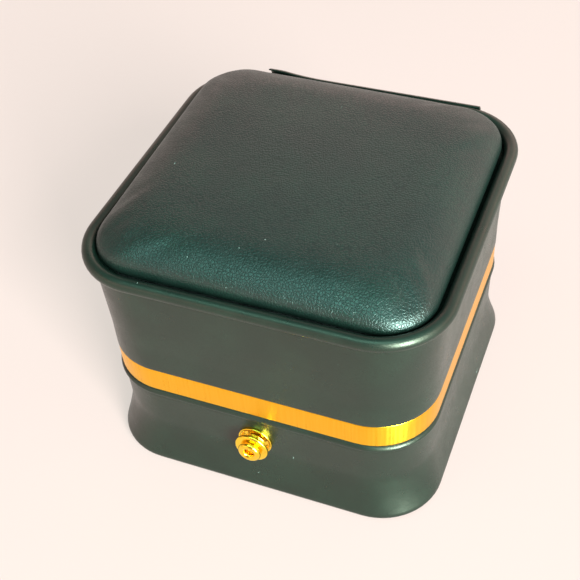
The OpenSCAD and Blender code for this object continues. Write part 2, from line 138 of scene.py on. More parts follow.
def plan_row(half_x, half_y, radius, z):
    """An outline at a height, in metres."""
    return [Vector((p.x, p.y, z)) * MM for p in outline(half_x, half_y, radius)]


def finish_mesh(name, mesh_data, sharp=40):
    """An object from a bmesh, with outward faces and smooth shading up to an angle."""
    bmesh.ops.recalc_face_normals(mesh_data, faces=mesh_data.faces)
    mesh = bpy.data.meshes.new(name)
    mesh_data.to_mesh(mesh)
    mesh_data.free()
    obj = bpy.data.objects.new(name, mesh)
    bpy.context.scene.collection.objects.link(obj)
    shade(obj, sharp)
    return obj


def shade(obj, sharp=40):
    """Smooth shading, except over edges sharper than an angle in degrees."""
    for polygon in obj.data.polygons:
        polygon.use_smooth = True
    obj.data.set_sharp_from_angle(angle=math.radians(sharp))


def loft(name, rows, ring=False, sharp=40):
    """A closed mesh through rows of points. A ring's last row joins its first. Other ends are capped."""
    work = bmesh.new()
    verts = [[work.verts.new(p) for p in row] for row in rows]
    count = len(rows[0])
    pairs = list(zip(verts, verts[1:]))
    if ring:
        pairs.append((verts[-1], verts[0]))
    for lower, upper in pairs:
        for i in range(count):
            j = (i + 1) % count
            work.faces.new((lower[i], lower[j], upper[j], upper[i]))
    if not ring:
        work.faces.new(verts[0])
        work.faces.new(verts[-1])
    return finish_mesh(name, work, sharp)


def turned(name, profile, centre_z, sides=96):
    """A turned part on the button's axis, from [radius, distance forward] points. It closes on the axis."""
    work = bmesh.new()
    rings = []
    for radius, forward in profile:
        if radius == 0:
            rings.append([work.verts.new(Vector((0, -forward, centre_z)) * MM)])
            continue
        ring = []
        for i in range(sides):
            angle = 2 * math.pi * i / sides
            x, z = radius * math.cos(angle), radius * math.sin(angle)
            ring.append(work.verts.new(Vector((x, -forward, centre_z + z)) * MM))
        rings.append(ring)
    closed = rings + [rings[0]] if len(rings[0]) > 1 else rings
    for one, two in zip(closed, closed[1:]):
        for i in range(sides):
            j = (i + 1) % sides
            corners = [one[i % len(one)], one[j % len(one)], two[j % len(two)], two[i % len(two)]]
            work.faces.new(list(dict.fromkeys(corners)))
    return finish_mesh(name, work, 32)


def bake_modifiers(obj):
    """Makes the modifiers' result the object's own mesh."""
    graph = bpy.context.evaluated_depsgraph_get()
    mesh = bpy.data.meshes.new_from_object(obj.evaluated_get(graph))
    obj.modifiers.clear()
    obj.data = mesh


def add_block(low, high):
    """A plain cutting block between two corners, in millimetres."""
    work = bmesh.new()
    bmesh.ops.create_cube(work, size=1)
    low, high = Vector(low) * MM, Vector(high) * MM
    size = high - low
    bmesh.ops.scale(work, vec=size, verts=work.verts)
    bmesh.ops.translate(work, vec=(low + high) / 2, verts=work.verts)
    return finish_mesh("cutter", work)


def add_rod(radius, back, front, centre_z):
    """A cutting cylinder on the button's axis."""
    return turned("cutter", [[0, back], [radius, back], [radius, front], [0, front]], centre_z)


def cut(obj, *cutters):
    """Takes the cutting shapes away from an object."""
    for cutter in cutters:
        modifier = obj.modifiers.new("cut", "BOOLEAN")
        modifier.object = cutter
        modifier.operation = "DIFFERENCE"
        modifier.solver = "EXACT"
    bake_modifiers(obj)
    for cutter in cutters:
        bpy.data.objects.remove(cutter)
    shade(obj)


def arc(centre, radius, start, end, steps):
    """Points of an arc in a section, with angles in degrees."""
    points = []
    for i in range(steps + 1):
        angle = math.radians(start + (end - start) * i / steps)
        points.append((centre[0] + radius * math.cos(angle), centre[1] + radius * math.sin(angle)))
    return points


def bend_between(start, control, end, steps):
    """Points of a quadratic curve, without its two ends."""
    points = []
    for i in range(1, steps):
        t = i / steps
        points.append(tuple(
            (1 - t) ** 2 * a + 2 * t * (1 - t) * b + t * t * c for a, b, c in zip(start, control, end)
        ))
    return points


# ---- Soft goods ----

SIM_SCALE = 10
SIM_FRAMES = 20
SOFT_VOXEL = 0.5
SWELL_CAP = 0.3


def remesh(obj, voxel):
    """Even quads over a closed mesh, with the stair steps smoothed out."""
    grid = obj.modifiers.new("grid", "REMESH")
    grid.mode = "VOXEL"
    grid.voxel_size = voxel * MM
    grid.use_smooth_shade = True
    smooth = obj.modifiers.new("smooth", "SMOOTH")
    smooth.factor = 0.5
    smooth.iterations = 4
    bake_modifiers(obj)


def coordinates(mesh):
    values = np.zeros(len(mesh.vertices) * 3, np.float32)
    mesh.vertices.foreach_get("co", values)
    return values.reshape(-1, 3)


def inflate(obj, pressure, held, smoothing=6):
    """Fills a padded piece by cloth simulation. held says which points, in millimetres, stay put."""
    remesh(obj, SOFT_VOXEL)
    simulate(obj, pressure, SWELL_CAP, held)
    smooth = obj.modifiers.new("smooth", "SMOOTH")
    smooth.factor = 0.5
    smooth.iterations = smoothing
    finer = obj.modifiers.new("finer", "SUBSURF")
    finer.levels = finer.render_levels = 1
    bake_modifiers(obj)
    shade(obj, 180)


def simulate(obj, pressure, cap, held):
    """Runs the cloth at ten times the size, and keeps every point within cap millimetres of its start."""
    scene = bpy.context.scene
    obj.data.transform(Matrix.Scale(SIM_SCALE, 4))
    start = coordinates(obj.data)
    pins = [i for i, p in enumerate(start / (SIM_SCALE * MM)) if held(p)]
    obj.vertex_groups.new(name="held").add(pins, 1.0, "REPLACE")
    cloth = obj.modifiers.new("cloth", "CLOTH")
    cloth.settings.quality = 6
    cloth.settings.mass = 0.3
    cloth.settings.tension_stiffness = cloth.settings.compression_stiffness = 20
    cloth.settings.shear_stiffness = 8
    cloth.settings.bending_stiffness = 2
    cloth.settings.use_pressure = True
    cloth.settings.uniform_pressure_force = pressure
    cloth.settings.vertex_group_mass = "held"
    cloth.settings.effector_weights.gravity = 0
    cloth.point_cache.frame_start = 1
    cloth.point_cache.frame_end = SIM_FRAMES
    for step in range(1, SIM_FRAMES + 1):
        scene.frame_set(step)
    graph = bpy.context.evaluated_depsgraph_get()
    final = coordinates(obj.evaluated_get(graph).to_mesh())
    move = final - start
    length = np.linalg.norm(move, axis=1, keepdims=True)
    limit = cap * MM * SIM_SCALE
    final = start + move * np.minimum(1, limit / np.maximum(length, 1e-9))
    furthest, average = length.max() / (SIM_SCALE * MM), length.mean() / (SIM_SCALE * MM)
    print(f"{obj.name}: moved {furthest:.2f} mm at most, {average:.2f} on average")
    obj.modifiers.clear()
    obj.vertex_groups.clear()
    obj.data.vertices.foreach_set("co", (final / SIM_SCALE).ravel())
    obj.data.update()
    scene.frame_set(1)


# ---- Materials ----


RANGE_SOCKETS = ("From Min", "From Max", "To Min", "To Max")


class Nodes:
    """A material's node tree, with short calls for the nodes it uses."""

    def __init__(self, name):
        self.material = bpy.data.materials.new(name)
        self.material.use_nodes = True
        self.tree = self.material.node_tree
        self.tree.nodes.clear()
        self.output = self.add("ShaderNodeOutputMaterial")
        self.shader = self.add("ShaderNodeBsdfPrincipled")
        self.link(self.shader, "BSDF", self.output, "Surface")
        place = self.add("ShaderNodeTexCoord")
        scale = self.add("ShaderNodeMapping")
        scale.inputs["Scale"].default_value = (1 / MM,) * 3
        self.link(place, "Object", scale, "Vector")
        self.place = scale.outputs["Vector"]

    def add(self, kind, **values):
        node = self.tree.nodes.new(kind)
        for key, value in values.items():
            setattr(node, key, value)
        return node

    def link(self, source, output, target, socket):
        self.tree.links.new(source.outputs[output], target.inputs[socket])

    def join(self, output, node, socket):
        self.tree.links.new(output, node.inputs[socket])

    def settle(self, **values):
        """Sets the shader's own sockets."""
        for key, value in values.items():
            self.shader.inputs[key.replace("_", " ")].default_value = value

    def noise(self, scale, detail=2.0, roughness=0.5, place=None, distortion=0.0):
        node = self.add("ShaderNodeTexNoise")
        node.inputs["Scale"].default_value = scale
        node.inputs["Detail"].default_value = detail
        node.inputs["Roughness"].default_value = roughness
        node.inputs["Distortion"].default_value = distortion
        self.join(place or self.place, node, "Vector")
        return node.outputs["Fac"]

    def cells(self, scale, feature="DISTANCE_TO_EDGE", place=None, output="Distance"):
        node = self.add("ShaderNodeTexVoronoi", feature=feature)
        node.inputs["Scale"].default_value = scale
        self.join(place or self.place, node, "Vector")
        return node.outputs[output]

    def stretch(self, x, y, z, place=None):
        node = self.add("ShaderNodeMapping")
        node.inputs["Scale"].default_value = (x, y, z)
        self.join(place or self.place, node, "Vector")
        return node.outputs["Vector"]

    def warp(self, scale, amount):
        """The place, pushed about by noise so that cells and threads are uneven."""
        node = self.add("ShaderNodeTexNoise")
        node.inputs["Scale"].default_value = scale
        node.inputs["Detail"].default_value = 1.0
        self.join(self.place, node, "Vector")
        push = self.add("ShaderNodeVectorMath", operation="MULTIPLY_ADD")
        self.link(node, "Color", push, 0)
        push.inputs[1].default_value = (amount,) * 3
        self.join(self.place, push, 2)
        return push.outputs["Vector"]

    def ramp(self, value, low, high, out_low=0.0, out_high=1.0, smooth=True):
        """Maps one range of values to another, held at both ends."""
        node = self.add("ShaderNodeMapRange")
        node.interpolation_type = "SMOOTHSTEP" if smooth else "LINEAR"
        for socket, number in zip(RANGE_SOCKETS, (low, high, out_low, out_high)):
            node.inputs[socket].default_value = number
        self.join(value, node, "Value")
        return node.outputs["Result"]

    def math(self, operation, one, two):
        node = self.add("ShaderNodeMath", operation=operation)
        for i, value in enumerate((one, two)):
            if isinstance(value, (int, float)):
                node.inputs[i].default_value = value
            else:
                self.tree.links.new(value, node.inputs[i])
        return node.outputs["Value"]

    def mix(self, share, one, two):
        node = self.add("ShaderNodeMix", data_type="RGBA")
        self.join(share, node, "Factor")
        for name, value in (("A", one), ("B", two)):
            socket = next(s for s in node.inputs if s.name == name and s.type == "RGBA")
            if isinstance(value, tuple):
                socket.default_value = (*value, 1)
            else:
                self.tree.links.new(value, socket)
        return next(s for s in node.outputs if s.type == "RGBA")

    def bump(self, height, strength, distance, normal=None):
        """distance is the height of the relief in millimetres."""
        node = self.add("ShaderNodeBump")
        node.inputs["Strength"].default_value = strength
        node.inputs["Distance"].default_value = distance * MM
        self.join(height, node, "Height")
        if normal is not None:
            self.join(normal, node, "Normal")
        return node.outputs["Normal"]

    def colour(self, output):
        self.join(output, self.shader, "Base Color")

    def rough(self, output):
        self.join(output, self.shader, "Roughness")

    def normal(self, output):
        self.join(output, self.shader, "Normal")


def leather(name, grain, roughness, relief, tint):
    """Dark green leatherette: pebbled cells with painted shade in the creases between them, pores, soft
    unevenness, specks of dust and rubbed patches.
    """
    n = Nodes(name)
    n.settle(IOR=1.53, Specular_Tint=(*tint, 1))
    uneven = n.warp(1.6, 0.35)
    cells = n.cells(grain, place=uneven)
    pebble = n.ramp(cells, 0.0, 0.22)
    pores = n.noise(grain * 3.2, 3.0, 0.6)
    patches = n.noise(0.11, 3.0, 0.55)
    wear = n.noise(0.30, 2.0, 0.5)
    deep, bright = (0.003, 0.009, 0.007), (0.005, 0.014, 0.010)
    tone = n.mix(n.ramp(patches, 0.35, 0.68), deep, bright)
    # painted shade: the creases between the pebbles get a darker copy of the leather's colour
    crease_shaded = n.mix(pebble, tuple(0.7 * c for c in deep), tone)
    specks = n.cells(0.24, "F1", n.warp(0.9, 2.0))
    dust = n.ramp(specks, 0.0, 0.028, 1.0, 0.0)
    n.colour(n.mix(dust, crease_shaded, (0.45, 0.52, 0.48)))
    base = n.ramp(wear, 0.3, 0.72, roughness - 0.03, roughness + 0.03)
    n.rough(n.math("ADD", base, n.ramp(pebble, 0.0, 1.0, 0.10, 0.0)))
    soft = n.bump(n.noise(0.35, 2.0, 0.5), 0.12, 0.15)
    fine = n.bump(pores, 0.12, 0.02, soft)
    n.normal(n.bump(pebble, relief, 0.05, fine))
    return n.material


def gilt_strip(name):
    """Satin gilt foil on metal, brushed along the band, with fine upright streaks and small scuffs."""
    n = Nodes(name)
    n.settle(Metallic=1.0, Anisotropic=0.75, Anisotropic_Rotation=0.25)
    brushed = n.noise(1.0, 3.0, 0.6, n.stretch(0.25, 0.25, 14.0))
    streaks = n.noise(1.0, 3.0, 0.65, n.stretch(2.4, 2.4, 0.05))
    scuffs = n.noise(0.8, 4.0, 0.7)
    tone = n.mix(n.ramp(streaks, 0.35, 0.65), (0.97, 0.47, 0.020), (1.0, 0.51, 0.030))
    n.colour(n.mix(n.ramp(scuffs, 0.66, 0.80, 0.0, 0.15), tone, (0.80, 0.40, 0.03)))
    rough = n.ramp(streaks, 0.3, 0.7, 0.27, 0.34)
    n.rough(n.math("ADD", rough, n.ramp(scuffs, 0.60, 0.80, 0.0, 0.12)))
    n.normal(n.bump(brushed, 0.10, 0.02, n.bump(streaks, 0.03, 0.03)))
    return n.material


def polished_gilt(name):
    """Turned and polished gilt brass: tool rings, hairlines and a little tarnish."""
    n = Nodes(name)
    n.settle(Metallic=1.0)
    tarnish = n.noise(0.7, 4.0, 0.6)
    hairlines = n.noise(1.0, 2.0, 0.5, n.stretch(9.0, 1.2, 9.0))
    n.colour(n.mix(n.ramp(tarnish, 0.50, 0.75, 0.0, 0.5), (1.0, 0.66, 0.05), (0.85, 0.46, 0.03)))
    n.rough(n.ramp(hairlines, 0.3, 0.75, 0.10, 0.22))
    n.normal(n.bump(hairlines, 0.06, 0.01))
    return n.material


def stamped_steel(name):
    """Nickel-plated steel sheet: rolling lines, blotches and fine scratches."""
    n = Nodes(name)
    n.settle(Metallic=1.0)
    lines = n.noise(1.0, 3.0, 0.6, n.stretch(0.6, 6.0, 9.0))
    blotches = n.noise(0.5, 3.0, 0.6)
    n.colour(n.mix(n.ramp(blotches, 0.4, 0.7), (0.56, 0.55, 0.53), (0.42, 0.40, 0.37)))
    n.rough(n.ramp(lines, 0.3, 0.7, 0.26, 0.42))
    n.normal(n.bump(lines, 0.12, 0.015))
    return n.material


def moulded_plastic(name):
    """Dark moulded plastic with a fine spark-eroded surface and faint flow marks."""
    n = Nodes(name)
    n.settle(IOR=1.5)
    grain = n.noise(9.0, 2.0, 0.5)
    flow = n.noise(0.18, 2.0, 0.5, distortion=1.2)
    n.colour(n.mix(n.ramp(flow, 0.35, 0.65), (0.012, 0.014, 0.014), (0.022, 0.025, 0.024)))
    n.rough(n.ramp(grain, 0.3, 0.7, 0.42, 0.58))
    n.normal(n.bump(grain, 0.25, 0.02))
    return n.material


def velvet(name, deep, bright):
    """Short-pile velvet: a brushed nap that lies in patches, with a pale edge where the pile turns."""
    n = Nodes(name)
    n.settle(Sheen_Weight=0.5, Sheen_Roughness=0.35, Sheen_Tint=(0.45, 0.80, 0.68, 1), IOR=1.45)
    n.shader.inputs["Specular IOR Level"].default_value = 0.2
    pile = n.noise(11.0, 2.0, 0.7)
    nap = n.noise(0.22, 3.0, 0.6, distortion=0.8)
    strokes = n.noise(1.0, 2.0, 0.6, n.stretch(0.7, 2.6, 1.6))
    laid = n.math("ADD", n.math("MULTIPLY", nap, 0.65), n.math("MULTIPLY", strokes, 0.35))
    tone = n.mix(n.ramp(laid, 0.30, 0.72), deep, bright)
    n.colour(n.mix(n.ramp(pile, 0.30, 0.60), tuple(0.45 * c for c in deep), tone))
    n.rough(n.ramp(pile, 0.3, 0.7, 0.85, 1.0))
    n.normal(n.bump(pile, 0.55, 0.06, n.bump(strokes, 0.2, 0.15)))
    return n.material


def felt(name):
    """Dense felt: matted fibres in every direction, with paler strands."""
    n = Nodes(name)
    n.settle(Sheen_Weight=0.35, Sheen_Roughness=0.6, Sheen_Tint=(0.5, 0.75, 0.65, 1))
    mat = n.noise(5.0, 4.0, 0.75, distortion=2.0)
    strands = n.noise(1.0, 3.0, 0.7, n.stretch(2.0, 9.0, 5.0, n.warp(1.2, 2.5)))
    tone = n.mix(n.ramp(mat, 0.35, 0.65), (0.006, 0.026, 0.020), (0.016, 0.055, 0.043))
    n.colour(n.mix(n.ramp(strands, 0.60, 0.72, 0.0, 0.6), tone, (0.045, 0.11, 0.09)))
    n.rough(n.ramp(mat, 0.3, 0.7, 0.88, 1.0))
    n.normal(n.bump(mat, 0.6, 0.08, n.bump(strands, 0.3, 0.05)))
    return n.material


def satin(name):
    """Ivory satin: close warp threads that catch the light across them, with slack and slubs."""
    n = Nodes(name)
    n.settle(Sheen_Weight=0.25, Sheen_Roughness=0.3, IOR=1.5, Anisotropic=0.5)
    threads = n.noise(1.0, 2.0, 0.5, n.stretch(7.0, 7.0, 0.6))
    weave = n.noise(1.0, 1.0, 0.5, n.stretch(1.2, 1.2, 9.0))
    slack = n.noise(0.16, 3.0, 0.55, distortion=0.6)
    slubs = n.ramp(n.noise(1.0, 2.0, 0.6, n.stretch(3.5, 3.5, 0.25)), 0.66, 0.74)
    tone = n.mix(n.ramp(slack, 0.35, 0.65), (0.33, 0.26, 0.185), (0.42, 0.34, 0.25))
    shaded = n.mix(n.ramp(threads, 0.35, 0.60), (0.25, 0.20, 0.14), tone)
    n.colour(n.mix(slubs, shaded, (0.46, 0.39, 0.30)))
    n.rough(n.ramp(threads, 0.3, 0.7, 0.30, 0.46))
    relief = n.bump(slack, 0.35, 0.35)
    n.normal(n.bump(threads, 0.22, 0.04, n.bump(weave, 0.12, 0.03, relief)))
    return n.material


def grey_board(name):
    """Pressed grey board with fibres and flecks."""
    n = Nodes(name)
    fibres = n.noise(1.0, 4.0, 0.7, n.stretch(1.2, 4.5, 3.0, n.warp(0.8, 1.5)))
    flecks = n.ramp(n.cells(1.1, "F1"), 0.0, 0.16, 1.0, 0.0)
    tone = n.mix(n.ramp(fibres, 0.3, 0.7), (0.22, 0.18, 0.13), (0.34, 0.29, 0.21))
    n.colour(n.mix(flecks, tone, (0.12, 0.09, 0.07)))
    n.rough(n.ramp(fibres, 0.3, 0.7, 0.75, 0.95))
    n.normal(n.bump(fibres, 0.4, 0.05))
    return n.material


def open_foam(name):
    """Cut foam with open cells."""
    n = Nodes(name)
    cells = n.cells(1.8, place=n.warp(1.2, 0.5))
    walls = n.ramp(cells, 0.0, 0.20)
    n.colour(n.mix(walls, (0.62, 0.60, 0.52), (0.36, 0.34, 0.27)))
    n.rough(n.ramp(walls, 0.0, 1.0, 0.75, 0.95))
    n.normal(n.bump(walls, 0.7, 0.2))
    return n.material


def twisted_cord(name):
    """Cotton cord, twisted, with loose fibres."""
    n = Nodes(name)
    twist = n.noise(1.0, 3.0, 0.6, n.stretch(2.2, 2.2, 5.0))
    n.colour(n.mix(n.ramp(twist, 0.3, 0.7), (0.34, 0.30, 0.23), (0.56, 0.51, 0.42)))
    n.rough(n.ramp(twist, 0.3, 0.7, 0.8, 0.95))
    n.normal(n.bump(twist, 0.6, 0.15))
    return n.material


LEATHER = leather("wall_leatherette", 3.4, 0.30, 0.08, (0.94, 0.82, 0.66))
PAD_LEATHER = leather("pad_leatherette", 2.1, 0.34, 0.55, (0.93, 1.0, 0.97))
GILT_STRIP = gilt_strip("gilt_strip")
GILT = polished_gilt("polished_gilt")
STEEL = stamped_steel("stamped_steel")
PLASTIC = moulded_plastic("moulded_plastic")
VELVET = velvet("green_velvet", (0.004, 0.024, 0.018), (0.009, 0.047, 0.036))
FELT = felt("green_felt")
SATIN = satin("ivory_satin")
BOARD = grey_board("grey_board")
FOAM = open_foam("open_foam")
CORD = twisted_cord("twisted_cord")

SLOT_MATERIAL = {
    "leatherette": LEATHER, "pad_leatherette": PAD_LEATHER, "gilt_band": GILT_STRIP, "gilt_brass": GILT,
    "steel": STEEL, "moulded_plastic": PLASTIC, "velvet": VELVET, "felt": FELT, "satin": SATIN,
    "foam": FOAM, "piping_cord": CORD, "card": BOARD,
}


def dress(obj, material):
    """Gives an object one material all over."""
    obj.data.materials.clear()
    obj.data.materials.append(material)


def place_piece(obj, body, slot, *nodes):
    """Gives a new piece its finish and its body, and hides the CAD nodes that it stands for."""
    dress(obj, SLOT_MATERIAL[slot])
    if body:
        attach(obj, body)
    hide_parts(*nodes)


# ---- Outlines that several pieces follow, in millimetres ----


def base_half(z):
    """Half width of the base at a height."""
    low = max(0, (FLARE_TOP - z) / (FLARE_TOP - FOOT_Z))
    high = max(0, (z - FLARE_TOP) / (WALL_TOP - FLARE_TOP))
    return WAIST_HALF + (FOOT_HALF - WAIST_HALF) * low ** 1.5 + 0.17 * high ** 2


def lid_half(z):
    """Half width of the lid's wall at a height."""
    return WALL_HALF + 0.033 * max(0, z - 28)


def wall_rows(section):
    """Rows of a square ring, from [half width, height] points."""
    return [plan_row(half, half, WALL_CORNER, z) for half, z in section]


def hinge_window(low, high):
    """The opening in a skin over one side of the hinge."""
    half = LEAF_HIGH.x + 0.4
    return add_block((-half, LEAF_LOW.y - 0.05, low), (half, RIM_HALF + 1, high))


# ---- The pieces ----


def base_cover():
    """Leatherette over the base: hem, rounded foot, flare, waist and the rolled shoulder under the band."""
    top, hem_r = WRAP_HIGH.z, 1.2
    steps = 30
    heights = [FOOT_Z + (WALL_TOP - FOOT_Z) * i / steps for i in range(1, steps + 1)]
    outer = arc((FOOT_HALF - hem_r, WRAP_LOW.z + hem_r), hem_r, -90, 0, 8)
    outer += [(base_half(z), z) for z in heights]
    outer += arc((27.35, top - 0.8), 0.8, -50, 90, 12)
    inner_top = 25.6
    outer += [(26.4, top)] + arc((inner_top + 0.25, top - 0.25), 0.25, 90, 180, 4)
    outer.append((inner_top, top - SKIN))
    inner = [(base_half(WALL_TOP) - SKIN, top - SKIN)]
    inner += [(base_half(z) - SKIN, z) for z in reversed(heights)]
    hem_end = FELT_HIGH.x + 0.4
    inner += [(FOOT_HALF - 2 * SKIN, FOOT_Z - 0.3), (hem_end, FOOT_Z - SKIN), (hem_end, WRAP_LOW.z)]
    cover = loft("base_cover", wall_rows(outer + inner), ring=True)
    cut(
        cover,
        add_rod(BEZEL_HIGH.x - 0.33, 20, 32, BUTTON_Z),
        hinge_window(LEAF_LOW.z - 0.4, HINGE.z),
    )
    place_piece(cover, "base", "leatherette", "base_wrap")


def lid_cover():
    """Leatherette over the lid: upright wall, the bead over its cord, and the turn down beside the pad."""
    low = LID_LOW.z
    bead_half, bead_z = RIM_HALF - BEAD_R, RIM_Z - BEAD_R
    rows = []

    def row(half, z, share=0):
        """share is 0 on the wall and 1 on the bead, whose corners turn about their own centres."""
        radius = WALL_CORNER * (1 - share) + (RIM_CORNER - (RIM_HALF - half)) * share
        rows.append(plan_row(half, half - (RIM_HALF - RIM_HALF_Y) * share, radius, z))

    row(27.45, low)
    row(27.8, low)
    for half, z in arc((27.8, low + 0.2), 0.2, -60, 0, 3):
        row(half, z)
    wall_end = bead_z - 1.35
    wall_start, wall_steps = low + 0.2, 24
    for i in range(1, wall_steps + 1):
        z = wall_start + (wall_end - wall_start) * i / wall_steps
        row(lid_half(z), z)
    row(lid_half(wall_end) - 0.02, wall_end + 0.22, 0.4)
    for half, z in arc((bead_half, bead_z), BEAD_R, -112, 180, 44):
        row(half, z, 1)
    flange = [(27.69, 42.1), (27.6, 41.7), (27.3, 41.48), (26.9, 41.45), (26.5, 41.44), (26.45, 41.41)]
    for half, z in flange:
        row(half, z, 1)
    row(27.36, 41.405, 0.6)
    row(27.4, 41.1, 0.3)
    row(27.45, 39.5)
    cover = loft("lid_cover", rows, ring=True)
    cut(cover, hinge_window(low - 1, HINGE.z + (HINGE.z - LEAF_LOW.z) + 0.4))
    place_piece(cover, "lid", "leatherette", "lid_wrap")


def gilt_band():
    """The gilt strip round the lid's lower edge, open behind the hinge, with rounded edges and a crown."""
    low, high, outer = BAND_LOW.z, BAND_HIGH.z, BAND_HIGH.x
    edge = 0.12
    middle = (low + high) / 2
    section = [(outer - 0.5, low), (outer - edge - 0.05, low)]
    section += arc((outer - edge - 0.03, low + edge), edge, -90, 0, 4)
    for i in range(1, 12):
        z = low + edge + (high - low - 2 * edge) * i / 12
        section.append((outer - 0.03 * ((z - middle) / (high - middle)) ** 2, z))
    section += arc((outer - edge - 0.03, high - edge), edge, 0, 90, 4)
    section += [(outer - edge - 0.05, high), (outer - 0.5, high)]
    band = loft("gilt_band", wall_rows(section), ring=True)
    half = LEAF_HIGH.x + 1.2
    cut(band, add_block((-half, 20, low - 1), (half, 30, high + 1)))
    place_piece(band, "lid", "gilt_band", "gold_band")


def crown_rows(half_x, half_y, corner, low, edge_z, rise):
    """Rows of a crowned pad: a tucked, bulging side, then a dome with a round edge and a flatter middle."""
    side = [(0.8, 0), (0.5, 0.4), (0.15, 0.9), (-0.12, 1.4), (-0.22, 1.9), (-0.14, 2.5)]
    rows = [plan_row(half_x - inset, half_y - inset, corner - inset, low + up) for inset, up in side]
    rows.append(plan_row(half_x, half_y, corner, edge_z))
    steps, round_over, edge_share = 30, 9, 0.8
    for i in range(1, steps + 1):
        inset = (half_y - 0.6) * (i / steps) ** 1.7
        edge = 1 - min(inset, round_over) / round_over
        centre = 1 - inset / half_y
        height = rise * (edge_share * math.sqrt(1 - edge * edge) + (1 - edge_share) * (1 - centre * centre))
        radius = min(corner + 0.12 * inset, half_y - inset)
        rows.append(plan_row(half_x - inset, half_y - inset, radius, edge_z + height))
    return rows


def padded_top():
    """The padded leatherette top, swollen by simulation. It sits a little forward, and high at the back."""
    low, edge_z, corner, swell = PAD_LOW.z, 44.47, 8, 0.2
    rise = PAD_HIGH.z - edge_z - swell
    pad = loft("padded_top", crown_rows(PAD_HIGH.x, PAD_HIGH.y, corner, low, edge_z, rise))
    inflate(pad, 4.0, lambda p: p[2] < low + 0.5, 16)
    glued_forward, tilt_back, tilt_left = 0.45, 0.023, 0.012
    for vertex in pad.data.vertices:
        x, y, z = vertex.co / MM
        share = min(1, max(0, (z - low - 0.6) / (edge_z - low)))
        vertex.co += Vector((0, -glued_forward, tilt_back * y - tilt_left * x)) * share * MM
    place_piece(pad, "lid", "pad_leatherette", "pad_cover", "pad_foam")


def strip_path():
    """The strip's inner face, as [distance behind the middle, height] points from the foot to the rim."""
    gap, strip_bump = 0.08, 1.55
    flex_low, flex_high = FLEX_LOW.z, FLEX_HIGH.z
    reach = (flex_high - flex_low) / 2
    points = [(base_half(z) + gap, z) for z in np.linspace(STRIP_LOW.z, flex_low - 0.3, 24)]
    for share in np.linspace(-1, 1, 33):
        low, high = base_half(flex_low) + gap, lid_half(flex_high) + gap
        bulge = strip_bump * math.cos(math.pi / 2 * share) ** 2
        points.append((low * (1 - share) / 2 + high * (1 + share) / 2 + bulge, HINGE.z + reach * share))
    wall_end = 40.3
    points += [(lid_half(z) + gap, z) for z in np.linspace(flex_high + 0.4, wall_end, 30)]
    centre = (RIM_HALF_Y - BEAD_R, RIM_Z - BEAD_R)
    over = arc(centre, BEAD_R + 0.03, -38, 70, 22)
    points += bend_between(points[-1], (lid_half(wall_end) + 0.1, over[0][1] - 0.5), over[0], 8)
    return points + over


def hinge_strip():
    """One strip of leatherette over the hinge, from the foot to the rim. Its top left corner has lifted."""
    glued_off = 1.25  # it was glued this far to the right of the middle
    path = [Vector((glued_off, y, z)) for y, z in strip_path()]
    half, edge, columns, corner_lift = STRIP_HIGH.x, 0.22, 40, 0.5
    flat = half - edge
    across = [-flat + 2 * flat * i / columns for i in range(columns)]
    section = [(x, 0) for x in across]
    section += arc((flat, edge), edge, -90, 0, 3) + arc((flat, SKIN - edge), edge, 0, 90, 3)
    section += [(-x, SKIN) for x in across[1:]]
    section += arc((-flat, SKIN - edge), edge, 90, 180, 3) + arc((-flat, edge), edge, 180, 270, 3)[:-1]
    rows = []
    last = len(path) - 1
    for i, point in enumerate(path):
        along = (path[min(i + 1, last)] - path[max(i - 1, 0)]).normalized()
        outward = Vector((0, along.z, -along.y))
        thin = 0.4 + 0.6 * min(1, 0.3 + i / 3, (last - i) / 14)
        over_rim = min(1, max(0, i - last + 24) / 12)
        row = []
        for x, t in section:
            lifted = corner_lift * over_rim * min(1, max(0, -x - 9) / 8) ** 2
            row.append((point + Vector((x, 0, 0)) + outward * (t * thin + lifted)) * MM)
        rows.append(row)
    strip = loft("hinge_strip", rows)
    place_piece(strip, None, "leatherette", "spine_lower", "spine_flex", "spine_upper")
    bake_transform(strip)


def push_button():
    """The turned knob: stem, ridged neck, wide disc with a rounded rim, and the ringed front disc."""
    tenon_r, stem_r, neck_r = 0.9, 1.5, 2.08
    profile = [[0, 22.7], [tenon_r, 22.7], [tenon_r, 24.3], [stem_r, 24.3], [stem_r, 28.5], [2.05, 28.5]]
    ridges, ridge, neck_start, neck_end = 3, 0.14, 28.55, 29.25
    pitch = (neck_end - neck_start) / ridges
    for i in range(ridges):
        for share in (0.1, 0.3, 0.5, 0.7, 0.9):
            forward = neck_start + pitch * (i + share)
            profile.append([neck_r + ridge * math.sin(math.pi * share), forward])
    profile += [[2.1, 29.27], [2.35, 29.3]]
    wide_rim = arc((2.55, 29.68), 0.35, -80, 80, 10)
    front_ring = arc((1.4, 30.56), 0.58, -50, 178, 26)
    dimple = [[0.8, 30.3], [0.72, 29.6], [0.5, 29.35], [0, 29.3]]
    profile += wide_rim + [[2.3, 30.04], [1.8, 30.06], [1.6, 30.1]] + front_ring + dimple
    knob = turned("knob", profile, BUTTON_Z)
    place_piece(knob, "button", "gilt_brass", "push_button")


def bezel():
    """The turned bezel that the knob slides in, with a rounded lip and a dished face."""
    profile = [[1.56, 24.9], [2.6, 24.9], [2.6, 27.72], [2.9, 27.72]]
    profile += arc((2.8, 28.2), 0.16, 0, 110, 6)
    profile += [[2.55, 28.3], [2.45, 28.22], [2.38, 28.05], [2.36, 27.55], [1.56, 27.5]]
    ring = turned("bezel", profile, BUTTON_Z)
    place_piece(ring, "base", "gilt_brass", "button_bezel")


